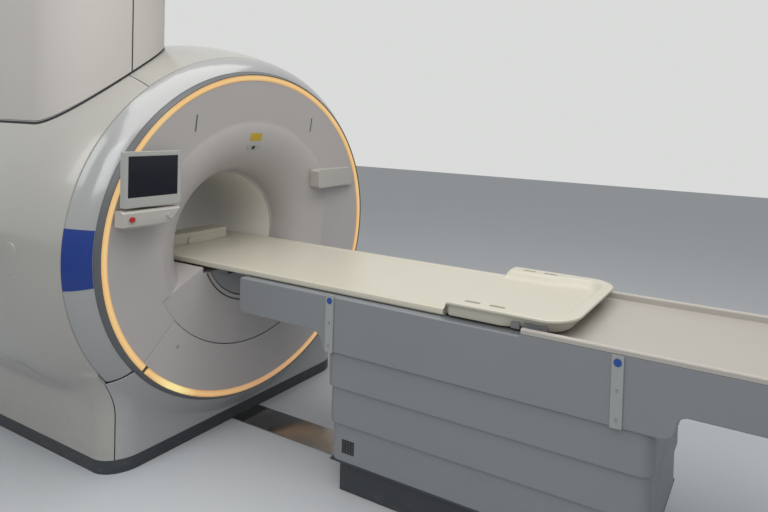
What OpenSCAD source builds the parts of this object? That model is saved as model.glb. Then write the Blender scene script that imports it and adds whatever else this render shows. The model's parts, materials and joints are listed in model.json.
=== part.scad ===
/* [View] */
// Which sub-part to draw, or all of them

/* [Magnet] */
// Height of the patient bore's axis above the floor
bore_height = 965; // [900:1100]
// Clear diameter of the patient bore
bore_diameter = 700; // [600:750]
// Height of the front ring's centre above the floor
ring_height = 1015; // [950:1150]
// Outer radius of the lit ring
ring_radius = 848; // [780:900]
// Width of the lit ring
ring_width = 28; // [20:60]
// Outer radius of the dark rim round the lit ring
bezel_radius = 866; // [855:880]
// Outer radius of the glossy band behind the rim
band_radius = 944; // [925:950]
// Depth of the band from the ring back to the covers
band_depth = 113; // [60:200]
// Largest radius of the round outer covers
cover_radius = 1020; // [990:1050]
// Depth over which the covers swell from the band to that radius
swell_run = 447; // [350:600]
// Whole length of the magnet from the ring to the back
magnet_length = 1600; // [1400:1900]
// Thickness of the moulded covers
cover_wall = 8; // [4:15]
// Half width of the square base of the covers
base_half = 745; // [650:850]
// Front face of the base, behind the ring
base_front = 78; // [40:120]
// Radius of the base's upright corners
corner_radius = 130; // [60:200]
// Height where the base walls begin to flare out to the round part
flare_start = 258; // [240:280]
// Height of the dark plinth at the floor
plinth_height = 64; // [40:120]

/* [Front] */
// Radius of the shallow step between dish and funnel
dish_radius = 597; // [540:650]
// Depth of that step behind the ring
dish_depth = 38; // [20:80]
// Radius where the funnel begins, about the bore axis
funnel_radius = 540; // [480:560]
// Depth of the bore's mouth behind the ring
mouth_depth = 297; // [200:400]
// Radius of the round notch below the tabletop
notch_radius = 322; // [300:340]
// Angle of the slanted seams below the horizontal
seam_angle = 37.5; // [30:50]
// Thickness of the dark gaps between mouldings
seam_gap = 3; // [1:6]

/* [Controls] */
// Width of the display's frame
display_width = 258; // [200:320]
// Height of the display's frame
display_height = 240; // [200:260]
// Width of the panel below the display
panel_width = 269; // [240:300]
// Height of the panel below the display
panel_height = 74; // [60:90]

/* [Table] */
// How far the tabletop's upper face lies below the bore's axis
top_drop = 57; // [50:70]
// Half width of the tabletop
top_half = 312; // [260:320]
// Thickness of the tabletop
top_thick = 30; // [25:35]
// Far end of the tabletop inside the bore
top_reach = 690; // [400:900]
// Where the flat tabletop ends and its raised end begins
end_start = -1350; // [-1400:-1300]
// Outer end of the raised end piece
end_stop = -1875; // [-1890:-1840]
// How far the end piece's rim stands above the tabletop
end_rise = 35; // [25:45]
// Half width of the end piece's rim
end_half = 337; // [330:342]
// Half width of the table's body
body_half = 344; // [320:380]
// Nose of the table's body towards the magnet
body_nose = -248; // [-300:-200]
// Tail of the table's body
body_tail = -2750; // [-2900:-2600]
// Bottom edge of the upper body over the skirts
body_low = 632; // [600:660]
// Bottom edge of the first skirt
skirt_low_1 = 478; // [440:500]
// Bottom edge of the second skirt
skirt_low_2 = 316; // [290:340]
// Bottom edge of the lowest skirt
skirt_low_3 = 150; // [100:180]

/* [Tower] */
// Height of the service tower's top above the floor
tower_top = 2600; // [2300:2900]
// Foremost line of the tower's rounded front
tower_front = 265; // [240:300]
// Left side of the tower
tower_left = -852; // [-880:-800]
// Right side of the tower
tower_right = -250; // [-300:-240]
// Where the tower's two front panels meet
tower_seam = -558; // [-600:-520]

/* [Hidden] */
$fn = 200;
bore_r = bore_diameter / 2;
ring_in = ring_radius - ring_width;
cover_start = band_depth + seam_gap;
cover_end = magnet_length - 100;
liner_wall = 8;
liner_end = cover_end - 94;
coil_in = bore_r + 18;
vessel_in = bore_r + 100;
vessel_out = band_radius - 72;
vessel_front = 190;
vessel_back = cover_end - 50;
display_left = -795;
display_low = 1236;
panel_left = -807;
panel_low = 1150;
button_x = panel_left + 40;
button_z = panel_low + 38;
knob_x = panel_left + 213;
knob_z = panel_low + 38;
beam_half = 150;
top_height = bore_height - top_drop;
top_low = top_height - top_thick;
body_top = top_low - 3;
end_height = top_height + end_rise;
deck_high = top_height - 3;
beam_low = top_low - 30;
track_low = beam_low - 36;
rail_in = 230;
rail_wide = 55;
deck_start = end_stop + 175;
beam_tail = deck_start + 850;
bridge_top = beam_low - 4;
slot_half = top_half + 6;
slot_low = top_low - 32;
slot_high = top_low - 2;
notch_side = slot_high - 164;
pedestal_head = -762;
pedestal_tail = -2200;
skirt_wall = 4;
skirt_guide = 6;
body_wall = 6;
column_y = [pedestal_head - 368, pedestal_tail + 350];
bracket_y = [pedestal_head - 45, pedestal_tail + 139];
barrel_rise = cover_radius - band_radius;
barrel_arc = (swell_run * swell_run + barrel_rise * barrel_rise) / (2 * barrel_rise);
swell_front = band_depth + swell_run;
base_back = cover_end + cover_wall;
swell_back = base_back - swell_run;
corner_x = base_half - corner_radius;
corner_front = base_front + corner_radius;
corner_back = base_back - corner_radius;
barrel_at_corner = cover_radius - barrel_arc + sqrt(barrel_arc * barrel_arc - pow(swell_front - corner_front, 2));
flare_drop = ring_height - flare_start;
flare_r = (base_half * base_half + flare_drop * flare_drop - barrel_at_corner * barrel_at_corner)
  / (2 * (barrel_at_corner - base_half));
flare_top = ring_height - flare_drop * barrel_at_corner / (barrel_at_corner + flare_r);
flare_reach = (base_half + flare_r) * barrel_at_corner / (barrel_at_corner + flare_r);
band_lean = asin(swell_run / barrel_arc);
band_start = 20;
band_chord = norm([band_radius - bezel_radius, band_depth - band_start]);
band_turn = atan2(band_radius - bezel_radius, band_depth - band_start) - band_lean;
band_arc = band_chord / (2 * sin(band_turn));
band_x = band_radius - band_arc * cos(band_lean);
band_y = band_depth + band_arc * sin(band_lean);
cover_seam = 572;
function skirt_inset(step) = body_wall + skirt_guide + (step - 1) * (skirt_wall + skirt_guide);

// Draws a flat shape in x and z as a slab between two depths.
module along_y(y0, y1) {
  translate([0, y1, 0])
    rotate([90, 0, 0])
      linear_extrude(height = y1 - y0)
        children();
}

// Draws a flat shape in y and z as a slab between two sides.
module along_x(x0, x1) {
  translate([x0, 0, 0])
    rotate([90, 0, 90])
      linear_extrude(height = x1 - x0)
        children();
}

// Turns a profile of radius and depth about a level axis.
module turned(height) {
  translate([0, 0, height])
    rotate([-90, 0, 0])
      rotate_extrude()
        children();
}

module disc(height, radius) {
  translate([0, height])
    circle(r = radius);
}

module sector(from, to) {
  steps = 16;
  translate([0, ring_height])
    polygon(concat([[0, 0]], [for (i = [0 : steps])
      let (a = from + (to - from) * i / steps) [1700 * cos(a), 1700 * sin(a)]]));
}

module box(x0, x1, y0, y1, z0, z1) {
  translate([x0, y0, z0])
    cube([x1 - x0, y1 - y0, z1 - z0]);
}

module both_sides() {
  children();
  mirror([1, 0, 0])
    children();
}

// Profile of the round covers, swelling from the band to their largest radius and back.
module barrel_profile(inset) {
  union() {
    translate([0, swell_front])
      square([cover_radius - inset, swell_back - swell_front]);
    intersection() {
      translate([cover_radius - barrel_arc, swell_front])
        circle(r = barrel_arc - inset);
      translate([0, swell_front - swell_run - 100])
        square([cover_radius + 20, swell_run + 100]);
    }
    intersection() {
      translate([cover_radius - barrel_arc, swell_back])
        circle(r = barrel_arc - inset);
      translate([0, swell_back])
        square([cover_radius + 20, swell_run + 100]);
    }
  }
}

// Half of the base seen from the front, its wall flaring out to meet the round part.
module flare_shape(inset) {
  low = plinth_height - (inset > 0 ? 20 : 0);
  translate([0, low])
    square([base_half - inset, flare_start - low]);
  difference() {
    translate([0, flare_start])
      square([flare_reach, flare_top - flare_start]);
    translate([base_half + flare_r, flare_start])
      circle(r = flare_r + inset);
  }
}

module flare_corner(inset, y) {
  translate([corner_x, y, 0])
    rotate_extrude()
      intersection() {
        translate([-corner_x, 0])
          flare_shape(inset);
        square([500, 1000]);
      }
}

// The base between two depths, with corners turned about upright axes.
module base_shape(inset, y0, y1) {
  front = max(y0, base_front + inset);
  back = min(y1, base_back - inset);
  low = plinth_height - (inset > 0 ? 20 : 0);
  both_sides() {
    box(0, corner_x, front, back, low, flare_top);
    intersection() {
      flare_corner(inset, corner_front);
      box(corner_x, corner_x + 300, y0, min(corner_front, y1), 0, 1000);
    }
    if (y1 > corner_back)
      intersection() {
        flare_corner(inset, corner_back);
        box(corner_x, corner_x + 300, corner_back, y1, 0, 1000);
      }
    if (y1 > corner_back)
      along_y(corner_front, corner_back)
        flare_shape(inset);
  }
}

// The covers as a solid body between two depths.
module cover_body(inset, y0, y1) {
  union() {
    intersection() {
      turned(ring_height)
        barrel_profile(inset);
      box(-1200, 1200, y0, y1, plinth_height - (inset > 0 ? 20 : 0), 2300);
    }
    base_shape(inset, y0, y1);
  }
}

// The base seen from above, with rounded upright corners.
module base_plan(inset, front, back) {
  r = corner_radius - inset;
  x = base_half - corner_radius;
  for (s = [-1, 1])
    for (y = [front + corner_radius, back - corner_radius])
      translate([s * x, y])
        circle(r = r);
  translate([-x, front + inset])
    square([2 * x, back - front - 2 * inset]);
  translate([-base_half + inset, front + corner_radius])
    square([2 * (base_half - inset), back - front - 2 * corner_radius]);
}

// Everything behind the dished front surface, used to end fittings on it.
module behind_front() {
  turned(ring_height)
    polygon([[0, dish_depth], [dish_radius, dish_depth], [ring_in, 0], [1100, 0], [1100, 400], [0, 400]]);
}

// The part of the front under the tabletop, bounded by the slanted ridges.
module lower_region(inset) {
  side = slot_half + inset;
  difference() {
    intersection() {
      disc(ring_height, dish_radius - 2 - inset);
      polygon([[-620, 300], [620, 300], [620, notch_side - inset], [side, slot_high - inset],
        [-side, slot_high - inset], [-620, notch_side - inset]]);
    }
    disc(bore_height, notch_radius + inset);
    translate([-side, slot_low - inset])
      square([2 * side, 200]);
  }
}

module lower_window(reach) {
  union() {
    intersection() {
      disc(ring_height, reach);
      polygon([[-700, 250], [700, 250], [700, notch_side - 41], [slot_half, slot_high + 2],
        [-slot_half, slot_high + 2], [-700, notch_side - 41]]);
    }
    disc(bore_height, notch_radius - 20);
  }
}

// The magnet's outer cylinder, used to end what meets it.
module vessel_space() {
  turned(bore_height)
    polygon([[0, 100], [vessel_out, 100], [vessel_out, cover_end], [0, cover_end]]);
}

// Cold magnet

module magnet_vessel() {
  color([0.82, 0.83, 0.84])
    turned(bore_height)
      polygon([[vessel_in, vessel_front], [vessel_out - 12, vessel_front], [vessel_out, vessel_front + 50],
        [vessel_out, vessel_back - 50], [vessel_out - 12, vessel_back], [vessel_in, vessel_back]]);
}

module magnet_turret() {
  color([0.80, 0.81, 0.82])
    difference() {
      translate([-520, 760, 1500])
        cylinder(h = 660, r = 110);
      vessel_space();
    }
}

module gradient_coil() {
  color([0.72, 0.62, 0.42])
    turned(bore_height)
      polygon([[coil_in, 330], [vessel_in, 330], [vessel_in, vessel_back - 60], [coil_in, vessel_back - 60]]);
}

module body_coil() {
  color([0.75, 0.50, 0.32])
    turned(bore_height)
      polygon([[bore_r + liner_wall, 340], [coil_in, 340], [coil_in, vessel_back - 70],
        [bore_r + liner_wall, vessel_back - 70]]);
}

module magnet_feet() {
  color([0.20, 0.21, 0.23])
    difference() {
      for (x = [-430, 430])
        for (y = [330, 1180])
          box(x - 90, x + 90, y, y + 150, 0, 420);
      vessel_space();
    }
}

// Two rings that carry the side and top covers, and posts that carry the front ones.
module cover_frame() {
  color([0.32, 0.33, 0.34])
    union() {
      for (y = [vessel_front + 60, vessel_back - 110])
        difference() {
          intersection() {
            turned(ring_height)
              barrel_profile(cover_wall);
            box(-1200, 1200, y, y + 14, flare_top + 2, 2300);
          }
          vessel_space();
        }
      difference() {
        for (a = [-150, -120, -60, -30, 10, 50, 90, 130, 170])
          translate([705 * cos(a), vessel_front, ring_height + 705 * sin(a)])
            rotate([90, 0, 0])
              cylinder(h = vessel_front, r = 22);
        turned(ring_height)
          polygon([[0, -20], [ring_in, -20], [ring_in, 12], [dish_radius, dish_depth + cover_wall],
            [0, dish_depth + cover_wall]]);
      }
    }
}

module vent_pipe() {
  color([0.70, 0.71, 0.72])
    translate([-520, 760, 2160])
      difference() {
        cylinder(h = 420, r = 100);
        translate([0, 0, -1])
          cylinder(h = 400, r = 92);
      }
}

// Bore

module bore_liner() {
  color([0.80, 0.79, 0.75])
    turned(bore_height)
      polygon([[bore_r, mouth_depth + 2], [vessel_in, mouth_depth + 2], [vessel_in, mouth_depth + 8],
        [bore_r + liner_wall, mouth_depth + 14], [bore_r + liner_wall, liner_end], [bore_r, liner_end]]);
}

module bore_bridge() {
  color([0.62, 0.63, 0.64])
    difference() {
      union() {
        along_y(mouth_depth + 2, liner_end)
          intersection() {
            disc(bore_height, bore_r);
            translate([-400, 600])
              square([800, bridge_top - 600]);
          }
        along_y(52, mouth_depth + 2)
          intersection() {
            disc(bore_height, notch_radius - 24);
            translate([-400, 600])
              square([800, bridge_top - 600]);
          }
      }
      box(-160, 160, 0, 1600, track_low - 6, 900);
      along_y(62, 1600)
        intersection() {
          disc(bore_height, notch_radius - 38);
          translate([-400, 600])
            square([800, track_low - 14 - 600]);
        }
    }
}

module docking_collar() {
  color([0.66, 0.66, 0.65])
    along_y(dish_depth + 6, mouth_depth + 2)
      intersection() {
        difference() {
          disc(bore_height, notch_radius);
          disc(bore_height, notch_radius - 24);
        }
        translate([-400, 600])
          square([800, bridge_top - 600]);
      }
}

// Front mouldings

// The seat behind the dark rim, from the dish outwards.
module rim_seat() {
  polygon([[ring_in - 12, 10], [ring_in - 3, 10], [ring_in - 3, 22], [bezel_radius - 8, 22],
    [bezel_radius - 8, 30], [ring_in - 12, 30]]);
}

module funnel_profile() {
  run = mouth_depth - dish_depth;
  rise = funnel_radius - bore_r - 15;
  arc = (rise * rise + run * run) / (2 * rise);
  intersection() {
    difference() {
      translate([bore_r + 15 + arc, mouth_depth])
        circle(r = arc);
      translate([bore_r + 15 + arc, mouth_depth])
        circle(r = arc - cover_wall);
    }
    translate([bore_r, dish_depth])
      square([funnel_radius - bore_r, run]);
  }
}

module front_cover() {
  color([0.70, 0.68, 0.67])
    union() {
      difference() {
        intersection() {
          turned(ring_height)
            union() {
              polygon([[dish_radius - 8, dish_depth], [dish_radius, dish_depth], [ring_in - 1, 0.4],
                [ring_in - 1, 12], [dish_radius, dish_depth + cover_wall], [dish_radius - 8, dish_depth + cover_wall]]);
              rim_seat();
            }
          along_y(-20, 200)
            sector(-seam_angle, 180 + seam_angle);
        }
        along_y(0, 100)
          lower_window(dish_radius - 0.5);
      }
      difference() {
        along_y(dish_depth, dish_depth + cover_wall)
          difference() {
            disc(ring_height, dish_radius - 2);
            disc(bore_height, funnel_radius - 6);
          }
        along_y(0, 400)
          lower_window(dish_radius + 40);
      }
      difference() {
        turned(bore_height)
          funnel_profile();
        along_y(0, 400)
          lower_window(dish_radius + 40);
      }
    }
}

module lower_shroud() {
  color([0.68, 0.67, 0.67])
    difference() {
      along_y(dish_depth + 4, mouth_depth)
        lower_region(0);
      along_y(dish_depth + 4 + cover_wall, mouth_depth + 10)
        lower_region(cover_wall);
      turned(bore_height)
        polygon([[vessel_in - 10, vessel_front - 10], [1000, vessel_front - 10], [1000, 400], [vessel_in - 10, 400]]);
    }
}

module base_front_cover() {
  color([0.69, 0.69, 0.69])
    union() {
      intersection() {
        turned(ring_height)
          union() {
            polygon([[dish_radius + 1, dish_depth], [ring_in - 1, 0.4], [ring_in - 1, 12],
              [dish_radius + 1, dish_depth + cover_wall]]);
            rim_seat();
            band_profile();
          }
        along_y(-20, 300)
          sector(-180 + seam_angle + 0.3, -seam_angle - 0.3);
      }
      difference() {
        base_shape(0, base_front - 60, band_depth);
        base_shape(cover_wall, base_front - 60, band_depth + 1);
        along_y(-20, 300)
          disc(ring_height, band_radius - 17);
        along_y(-20, 300)
          sector(-seam_angle - 0.3, 180 + seam_angle + 0.3);
      }
    }
}

module band_profile() {
  union() {
    intersection() {
      difference() {
        translate([band_x, band_y])
          circle(r = band_arc);
        translate([band_x, band_y])
          circle(r = band_arc - 10);
      }
      translate([bezel_radius + 1, 10])
        square([200, band_depth - 10]);
    }
    translate([bezel_radius - 8, 22])
      square([11, 8]);
  }
}

module front_band() {
  color([0.76, 0.76, 0.77])
    intersection() {
      turned(ring_height)
        band_profile();
      along_y(-20, 300)
        sector(-seam_angle, 180 + seam_angle);
    }
}

module ring_bezel() {
  color([0.16, 0.17, 0.18])
    turned(ring_height)
      polygon([[ring_in - 2, 12.4], [ring_radius + 1, 12.4], [ring_radius + 1, -6], [ring_radius + 5, -8],
        [bezel_radius, 18], [bezel_radius, 21.6], [ring_in - 2, 21.6]]);
}

module ring_profile() {
  polygon([[ring_in, -1], [ring_in + 6, -5], [ring_radius - 4, -6], [ring_radius, -3], [ring_radius, 12], [ring_in, 12]]);
}

module light_ring_upper() {
  color([0.98, 0.86, 0.55])
    intersection() {
      turned(ring_height)
        ring_profile();
      along_y(-20, 60)
        sector(-seam_angle - 1.2, 180 + seam_angle + 1.2);
    }
}

module light_ring_lower() {
  color([0.98, 0.86, 0.55])
    intersection() {
      turned(ring_height)
        ring_profile();
      along_y(-20, 60)
        sector(-180 + seam_angle + 3.2, -seam_angle - 3.2);
    }
}

module band_badge() {
  color([0.03, 0.13, 0.50])
    intersection() {
      turned(ring_height)
        intersection() {
          difference() {
            translate([band_x, band_y])
              circle(r = band_arc + 1.1);
            translate([band_x, band_y])
              circle(r = band_arc + 0.3);
          }
          translate([bezel_radius + 3, 10])
            square([200, band_depth - 12]);
        }
      along_y(-20, 300)
        sector(171.5, 187.5);
    }
}

// Outer covers

module cover_shell() {
  difference() {
    cover_body(0, cover_start, cover_end);
    cover_body(cover_wall, cover_start - 1, cover_end + 1);
    translate([0, 0, 1400])
      linear_extrude(height = 900)
        tower_plan(12);
  }
}

// The strip of the covers over the top, seen from above.
module top_strip(gap) {
  box(-cover_seam - gap, cover_seam + gap, 0, 1700, 1500, 2300);
}

module side_cover_left() {
  color([0.66, 0.66, 0.63])
    intersection() {
      difference() {
        cover_shell();
        top_strip(seam_gap);
      }
      box(-1200, -1, 0, 1700, 0, 2300);
    }
}

module side_cover_right() {
  color([0.66, 0.66, 0.63])
    intersection() {
      difference() {
        cover_shell();
        top_strip(seam_gap);
      }
      box(1, 1200, 0, 1700, 0, 2300);
    }
}

module top_cover() {
  color([0.68, 0.68, 0.66])
    intersection() {
      cover_shell();
      top_strip(0);
    }
}

module rear_cover() {
  color([0.68, 0.68, 0.66])
    difference() {
      union() {
        intersection() {
          cover_body(0, cover_start, base_back);
          along_y(cover_end, base_back)
            difference() {
              translate([-1200, 0])
                square([2400, 2400]);
              disc(bore_height, bore_r + 102);
            }
        }
        turned(bore_height)
          polygon([[bore_r, liner_end], [bore_r + 10, liner_end], [bore_r + 34, liner_end + 40],
            [bore_r + 64, liner_end + 74], [bore_r + 106, cover_end + cover_wall - 4],
            [bore_r + 106, cover_end + cover_wall + 6], [bore_r + 92, cover_end + cover_wall + 6],
            [bore_r + 54, liner_end + 78], [bore_r + 24, liner_end + 44]]);
      }
      box(-1200, 1200, cover_end - 10, magnet_length + 10, 0, plinth_height);
    }
}

module plinth() {
  color([0.21, 0.22, 0.23])
    linear_extrude(height = plinth_height)
      difference() {
        base_plan(0, base_front, base_back);
        base_plan(14, base_front, base_back);
      }
}

module cap_shape() {
  half = 37;
  for (z = [-half, half])
    translate([0, z])
      circle(r = half + 1);
  translate([-half - 1, -half])
    square([2 * half + 2, 2 * half]);
}

module access_cap(s) {
  reach = cover_radius - 60;
  intersection() {
    difference() {
      turned(ring_height)
        barrel_profile(-2);
      turned(ring_height)
        barrel_profile(0);
    }
    along_x(s < 0 ? -reach - 100 : reach, s < 0 ? -reach : reach + 100)
      translate([band_depth + 263, ring_height - 10])
        cap_shape();
  }
}

module access_cap_left() {
  color([0.60, 0.60, 0.58])
    access_cap(-1);
}

module access_cap_right() {
  color([0.60, 0.60, 0.58])
    access_cap(1);
}

// Service tower

module tower_plan(inset) {
  turn_x = -585;
  left_r = turn_x - tower_left;
  right_r = 360;
  back = 1308;
  union() {
    intersection() {
      translate([turn_x, tower_front + left_r])
        circle(r = left_r - inset);
      translate([turn_x - 400, 0])
        square([400, 1000]);
    }
    intersection() {
      translate([turn_x, tower_front + right_r])
        circle(r = right_r - inset);
      translate([turn_x, 0])
        square([tower_right - inset - turn_x, tower_front + right_r]);
    }
    translate([tower_left + inset, tower_front + left_r])
      square([turn_x - tower_left - inset, back - tower_front - left_r - inset]);
    translate([turn_x, tower_front + right_r])
      square([tower_right - inset - turn_x, back - tower_front - right_r - inset]);
  }
}

module tower_shell() {
  difference() {
    translate([0, 0, 1400])
      linear_extrude(height = tower_top - 1400 - 10)
        difference() {
          tower_plan(0);
          tower_plan(10);
        }
    turned(ring_height)
      barrel_profile(-1);
    difference() {
      turned(ring_height)
        barrel_profile(-9);
      translate([0, 0, 1300])
        linear_extrude(height = 1000)
          tower_plan(4);
    }
  }
}

module tower_side_panel() {
  color([0.74, 0.72, 0.71])
    intersection() {
      tower_shell();
      box(-1000, tower_seam - 1.5, 0, 1500, 1000, 2700);
    }
}

module tower_front_panel() {
  color([0.74, 0.72, 0.71])
    intersection() {
      tower_shell();
      box(tower_seam + 1.5, 0, 0, 1500, 1000, 2700);
    }
}

module tower_cap() {
  color([0.74, 0.72, 0.71])
    translate([0, 0, tower_top - 10])
      linear_extrude(height = 10)
        tower_plan(0);
}

// Controls on the front

module display_housing() {
  x = display_left;
  z = display_low;
  color([0.63, 0.65, 0.64])
    difference() {
      union() {
        box(x, x + display_width, -74, -40, z, z + display_height);
        box(x + 20, x + display_width - 20, -40, -26, z + 20, z + display_height - 20);
        difference() {
          box(x + 140, x + display_width - 40, -26, 60, z - 8, z + 150);
          behind_front();
        }
      }
      box(x + 14, x + display_width - 15, -90, -70, z + 43, z + display_height - 20);
    }
}

module display_screen() {
  color([0.11, 0.12, 0.16])
    box(display_left + 15, display_left + display_width - 16, -73, -70, display_low + 44,
      display_low + display_height - 21);
}

module control_panel() {
  color([0.72, 0.71, 0.70])
    difference() {
      union() {
        intersection() {
          along_x(panel_left, panel_left + panel_width)
            polygon([[-80, panel_low + 8], [-74, panel_low], [-26, panel_low], [-26, panel_low + panel_height],
              [-66, panel_low + panel_height], [-80, panel_low + panel_height - 10]]);
          along_y(-90, 0)
            polygon([[panel_left, panel_low + 6], [panel_left + 18, panel_low], [panel_left + panel_width - 54, panel_low],
              [panel_left + panel_width, panel_low + panel_height], [panel_left, panel_low + panel_height]]);
        }
        difference() {
          box(panel_left + 97, panel_left + 197, -26, 60, panel_low + 6, panel_low + 60);
          behind_front();
        }
      }
      translate([button_x, -74, button_z])
        rotate([90, 0, 0])
          cylinder(h = 20, r = 11.5);
      translate([knob_x, -76, knob_z])
        rotate([90, 0, 0])
          cylinder(h = 20, r = 5.3);
    }
}

module alarm_button() {
  color([0.72, 0.05, 0.06])
    translate([button_x, -78, button_z])
      rotate([90, 0, 0])
        cylinder(h = 10, r = 11);
}

module control_knob() {
  color([0.55, 0.55, 0.55])
    translate([knob_x, -80.3, knob_z])
      rotate([90, 0, 0])
        difference() {
          union() {
            cylinder(h = 10, r = 13);
            translate([0, 0, -4])
              cylinder(h = 5, r = 5);
          }
          translate([-2, 3, 8])
            cube([4, 12, 4]);
        }
}

module right_control_box() {
  color([0.72, 0.70, 0.69])
    difference() {
      along_y(-24, 80)
        polygon([[436, 1216], [424, 1226], [420, 1318], [430, 1330], [716, 1332], [728, 1322], [742, 1232], [732, 1220]]);
      behind_front();
    }
}

module slit_trims() {
  color([0.12, 0.12, 0.13])
    difference() {
      for (s = [-1, 1])
        box(s * 391 - 3.5, s * 391 + 3.5, 10, 40, 1560, 1642);
      turned(ring_height)
        polygon([[0, dish_depth], [dish_radius, dish_depth], [ring_in - 1, 0.4], [1100, 0], [1100, 400], [0, 400]]);
    }
}

module label_plate() {
  color([0.75, 0.65, 0.08])
    box(-38, 38, dish_depth - 1.2, dish_depth, bore_height + 555, bore_height + 597);
}

module laser_window() {
  color([0.14, 0.13, 0.13])
    intersection() {
      turned(bore_height)
        difference() {
          funnel_solid(2);
          funnel_solid(0);
        }
      along_y(0, 200)
        translate([0, bore_height])
          polygon([[-52, 521], [52, 521], [36, 491], [-36, 491]]);
    }
}

module funnel_solid(proud) {
  run = mouth_depth - dish_depth;
  rise = funnel_radius - bore_r - 15;
  arc = (rise * rise + run * run) / (2 * rise);
  intersection() {
    translate([bore_r + 15 + arc, mouth_depth])
      circle(r = arc + proud);
    translate([bore_r, 0])
      square([funnel_radius - bore_r - 16, mouth_depth]);
  }
}

module cover_lock() {
  color([0.30, 0.31, 0.32])
    intersection() {
      turned(ring_height)
        polygon([[dish_radius, dish_depth - 2.4], [ring_in - 1, -2], [ring_in - 1, 0.4], [dish_radius, dish_depth]]);
      translate([-464, 60, 524])
        rotate([90, 0, 0])
          cylinder(h = 80, r = 9);
    }
}

// Tabletop

module tabletop() {
  corner = 120;
  color([0.83, 0.82, 0.76])
    difference() {
      union() {
        translate([0, 0, top_low])
          linear_extrude(height = top_thick)
            union() {
              translate([-top_half, end_start - 3])
                square([2 * top_half, top_reach - corner - end_start + 3]);
              for (s = [-1, 1])
                translate([s * (top_half - corner), top_reach - corner])
                  circle(r = corner);
              translate([-(top_half - corner), top_reach - corner])
                square([2 * (top_half - corner), corner]);
            }
        box(-190, 190, end_stop + 60, end_start - 3, top_low, top_height);
      }
      box(-top_half + 24, top_half - 24, end_start + 20, top_reach - 60, top_height - 4, top_height + 10);
    }
}

module tabletop_beam() {
  color([0.45, 0.46, 0.47])
    box(-beam_half, beam_half, beam_tail, top_reach - 60, beam_low, top_low);
}

module end_plan(inset) {
  r = 125;
  for (s = [-1, 1])
    translate([s * (end_half - r), end_stop + r])
      circle(r = r - inset);
  translate([-(end_half - r), end_stop + inset])
    square([2 * (end_half - r), r]);
  translate([-end_half + inset, end_stop + r])
    square([2 * (end_half - inset), end_start - 50 - end_stop - r]);
}

module tabletop_end() {
  rim = end_start - 50;
  floor_z = top_height + 3;
  color([0.85, 0.84, 0.79])
    difference() {
      union() {
        translate([0, 0, end_height - 13])
          linear_extrude(height = 13)
            union() {
              end_plan(0);
              polygon([[-end_half, rim], [-top_half, rim + 16], [top_half, rim + 16], [end_half, rim]]);
            }
        intersection() {
          along_x(-top_half, top_half)
            polygon([[end_start, top_height], [end_start - 10, top_height + 2], [end_start - 20, top_height + 8],
              [end_start - 30, end_height - 14], [end_start - 38, end_height - 2], [end_start - 46, end_height],
              [rim - 240, end_height], [rim - 240, top_low + 6], [end_start - 3, top_low + 6], [end_start - 3, top_height]]);
          box(-top_half, top_half, rim - 240, end_start, top_low, end_height);
        }
        translate([0, 0, top_low + 6])
          linear_extrude(height = end_height - top_low - 6)
            intersection() {
              end_plan(41);
              translate([-400, end_stop])
                square([800, rim - 200 - end_stop]);
            }
      }
      box(-190, 190, -2200, end_start - 3, 0, top_height);
      difference() {
        translate([0, 0, floor_z])
          linear_extrude(height = 100)
            end_plan(52);
        box(-400, 400, end_stop, end_start, 0, floor_z);
      }
      box(-end_half + 52, end_half - 52, rim - 10, end_start + 5, floor_z, 1100);
      for (s = [-1, 1])
        for (y = [rim - 20, rim - 118])
          box(s * (end_half - 27) - 8, s * (end_half - 27) + 8, y - 34, y + 34, end_height - 8, 1100);
    }
}

module end_latch() {
  color([0.30, 0.31, 0.32])
    for (s = [-1, 1])
      for (y = [[-1646, -1682], [-1700, -1790]])
        box(s < 0 ? -top_half + 2 : end_half - 41, s < 0 ? -end_half + 41 : top_half - 2, y[1], y[0],
          top_low + 8, end_height - 13);
}

module coil_base() {
  color([0.80, 0.80, 0.77])
    union() {
      box(-176, 176, 470, 600, top_height - 4, top_height + 58);
      box(-90, 90, 455, 470, top_height - 4, top_height + 36);
    }
}

// Table body

module body_side(inset) {
  t = inset;
  polygon([[body_nose - t, body_top + t], [body_nose - t, body_low + 108], [body_nose - 8 - t * 0.8, body_low + 87 + t * 0.5],
    [body_nose - 28 - t * 0.3, body_low + 77 + t], [pedestal_head + 72 - t * 0.2, body_low + 77 + t],
    [pedestal_head + 40 - t * 0.4, body_low + 68 + t], [pedestal_head + 16 - t * 0.8, body_low + 42 + t * 0.6],
    [pedestal_head + 5 - t, body_low + 18], [pedestal_head - t, body_low - 2 * t],
    [pedestal_tail + t, body_low - 2 * t], [pedestal_tail - 32 + t, body_low + 10],
    [pedestal_tail - 52 + t * 0.8, body_low + 36 + t * 0.5], [pedestal_tail - 64 + t * 0.6, body_low + 68 + t * 0.8],
    [pedestal_tail - 96, body_low + 89 + t], [body_tail + t, body_low + 89 + t], [body_tail + t, body_top + 10 + 2 * t],
    [deck_start, body_top + 10 + 2 * t], [deck_start, body_top + t]]);
}

module upper_body() {
  wall = body_wall;
  color([0.50, 0.52, 0.54])
    difference() {
      along_x(-body_half, body_half)
        body_side(0);
      along_x(-body_half + wall, body_half - wall)
        intersection() {
          body_side(wall);
          translate([-3000, 400])
            square([3000, body_top - 8 - 400]);
        }
      box(-body_half + wall, body_half - wall, pedestal_tail + 7, pedestal_head - 7, body_low - 100, body_low + 68);
      box(-166, 166, deck_start + 10, body_nose + 5, track_low, body_top + 30);
      box(-body_half + wall, body_half - wall, body_tail - 10, deck_start, body_top - 8, end_height);
    }
}

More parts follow.
